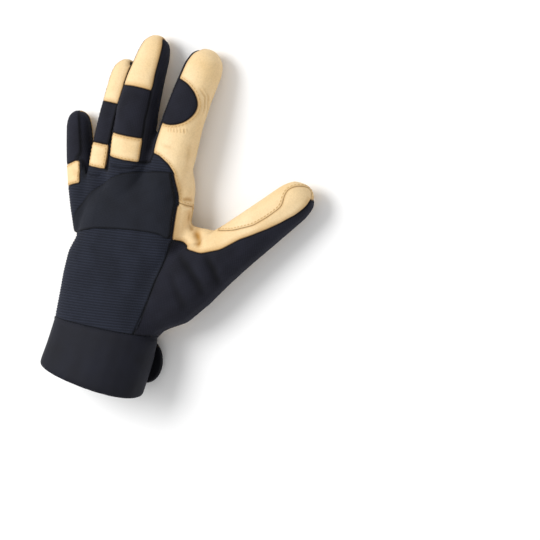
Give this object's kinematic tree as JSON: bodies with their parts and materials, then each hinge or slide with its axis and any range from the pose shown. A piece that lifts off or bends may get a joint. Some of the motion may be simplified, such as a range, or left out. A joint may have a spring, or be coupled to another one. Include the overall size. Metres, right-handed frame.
{
  "type": "mechanic glove",
  "caption": "Left-hand work glove, leather palm and finger ends, stretch knit back with padded knuckles, hook-and-loop wrist cuff, resting on its palm.",
  "frame": {"origin": "centre of the bounding box, on the surface that the glove rests on", "axes": "+Y from wrist to fingertips, +X to the thumb's side, +Z from the palm to the back of the hand"},
  "size_m": [0.195, 0.2454, 0.0488],
  "materials": {
    "leather": "pale golden goatskin or pigskin grain, matt",
    "ribbed_knit": "navy-black knit with fine cross ribs",
    "padded_knit": "navy-black smooth stretch knit over foam",
    "stretch_knit": "navy-black smooth stretch knit",
    "neoprene": "dark grey cloth-faced neoprene, slight sheen",
    "webbing": "black tape"
  },
  "bodies": {
    "root": {"palm_leather": "leather", "thumb_leather": "leather", "middle_band": "leather", "ring_band": "leather", "little_band": "leather", "middle_tip": "leather", "ring_tip": "leather", "back_ribbed": "ribbed_knit", "knuckle_pad": "padded_knit", "thumb_back": "stretch_knit", "middle_back": "stretch_knit", "ring_back": "stretch_knit", "little_back": "stretch_knit", "index_inset": "stretch_knit", "fourchette_index_middle": "stretch_knit", "fourchette_middle_ring": "stretch_knit", "fourchette_ring_little": "stretch_knit", "cuff": "neoprene", "strap": "neoprene", "pull_tab": "webbing"}
  },
  "joints": []
}
